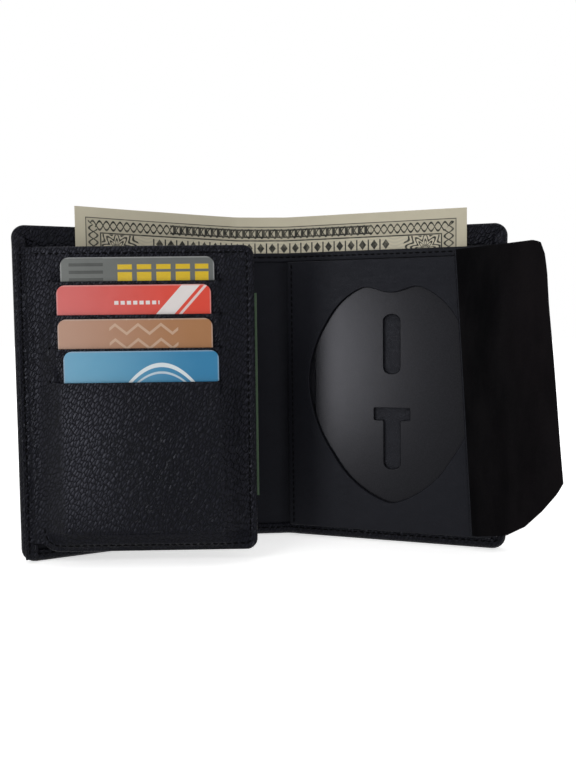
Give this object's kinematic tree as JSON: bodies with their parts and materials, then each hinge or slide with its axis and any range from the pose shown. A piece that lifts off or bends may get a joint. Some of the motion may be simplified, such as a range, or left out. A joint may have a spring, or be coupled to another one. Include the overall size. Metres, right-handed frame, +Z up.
{
  "type": "id badge wallet",
  "caption": "Folding black leather id wallet with a note compartment, a hinged leaf of stepped card pockets and a shield-shaped badge recess under a suede-lined flap",
  "frame": {"origin": "middle of the bottom edge of the cover's spine, on the surface the wallet stands on", "axes": "+X from the card half to the badge half, +Y away from the viewer of the opened wallet, +Z up along the folds"},
  "size_m": [0.1914, 0.0616, 0.1276],
  "materials": {
    "pebbled_leather": "black pebbled leather, semi-gloss grain",
    "smooth_leather": "black smooth leather, fine grain",
    "lining_cloth": "black woven lining",
    "insert_board": "glossy black insert board",
    "suede": "black suede, matt nap",
    "clear_film": "clear film",
    "slip_paper": "dark green printed slip",
    "card_plastic_1": "grey card with yellow marks",
    "card_plastic_2": "red card with a white shape",
    "card_plastic_3": "tan card",
    "card_plastic_4": "blue card",
    "note_paper": null
  },
  "bodies": {
    "spine": {"cover_spine": "pebbled_leather", "lining_spine": "lining_cloth", "divider_spine": "smooth_leather", "turned_edge_spine": "pebbled_leather"},
    "left_half": {"cover_left": "pebbled_leather", "lining_left": "lining_cloth", "divider_left": "smooth_leather", "turned_edge_left": "pebbled_leather", "leaf_strip": "pebbled_leather"},
    "right_half": {"cover_right": "pebbled_leather", "lining_right": "lining_cloth", "divider_right": "smooth_leather", "turned_edge_right": "pebbled_leather", "badge_back": "smooth_leather", "badge_frame": "smooth_leather", "badge_plate": "insert_board", "badge_face": "smooth_leather", "flap_root": "smooth_leather"},
    "card_leaf": {"leaf_hinge": "pebbled_leather", "leaf_back": "pebbled_leather", "leaf_face": "pebbled_leather", "card_pocket_1": "pebbled_leather", "card_pocket_2": "pebbled_leather", "card_pocket_3": "pebbled_leather", "card_pocket_4": "pebbled_leather", "id_sleeve": "clear_film"},
    "card_1": {"card_1": "card_plastic_1"},
    "card_2": {"card_2": "card_plastic_2"},
    "card_3": {"card_3": "card_plastic_3"},
    "card_4": {"card_4": "card_plastic_4"},
    "id_slip": {"id_slip": "slip_paper"},
    "flap": {"flap_leather": "smooth_leather", "flap_suede": "suede"},
    "note_mid": {"note_mid": "note_paper"},
    "note_left": {"note_left": "note_paper"},
    "note_right": {"note_right": "note_paper"}
  },
  "joints": [
    {"name": "left_fold", "type": "hinge", "parent": "spine", "child": "left_half", "pos_m": [-0.01, -0.002, 0], "axis": [0, 0, 1], "range_deg": [-23.7, 58.3]},
    {"name": "right_fold", "type": "hinge", "parent": "spine", "child": "right_half", "pos_m": [0.01, -0.002, 0], "axis": [0, 0, -1], "range_deg": [-23.7, 74.3]},
    {"name": "leaf_swing", "type": "hinge", "parent": "left_half", "child": "card_leaf", "pos_m": [-0.08379, -0.03767, 0], "axis": [0, 0, 1], "range_deg": [-139, 26.2]},
    {"name": "card_1_slide", "type": "slide", "parent": "card_leaf", "child": "card_1", "axis": [0, 0, 1], "range_m": [0, 0.08]},
    {"name": "card_2_slide", "type": "slide", "parent": "card_leaf", "child": "card_2", "axis": [0, 0, 1], "range_m": [0, 0.08]},
    {"name": "card_3_slide", "type": "slide", "parent": "card_leaf", "child": "card_3", "axis": [0, 0, 1], "range_m": [0, 0.08]},
    {"name": "card_4_slide", "type": "slide", "parent": "card_leaf", "child": "card_4", "axis": [0, 0, 1], "range_m": [0, 0.08]},
    {"name": "slip_slide", "type": "slide", "parent": "card_leaf", "child": "id_slip", "axis": [-0.999, 0.0436, 0], "range_m": [-0.06, 0]},
    {"name": "flap_hinge", "type": "hinge", "parent": "right_half", "child": "flap", "pos_m": [0.07304, -0.03552, 0.05875], "axis": [0.0541, -0.0238, -0.9983], "range_deg": [-15, 162]},
    {"name": "note_slide", "type": "slide", "parent": "spine", "child": "note_mid", "axis": [0, 0, 1], "range_m": [-0.055, 0.07]},
    {"name": "note_left_fold", "type": "hinge", "parent": "note_mid", "child": "note_left", "pos_m": [-0.01, -0.002, 0], "axis": [0, 0, 1], "range_deg": [-23.7, 58.3]},
    {"name": "note_right_fold", "type": "hinge", "parent": "note_mid", "child": "note_right", "pos_m": [0.01, -0.002, 0], "axis": [0, 0, -1], "range_deg": [-23.7, 74.3]}
  ],
  "couplings": [
    {"joint": "note_left_fold", "follows": "left_fold", "ratio": 1},
    {"joint": "note_right_fold", "follows": "right_fold", "ratio": 1}
  ]
}
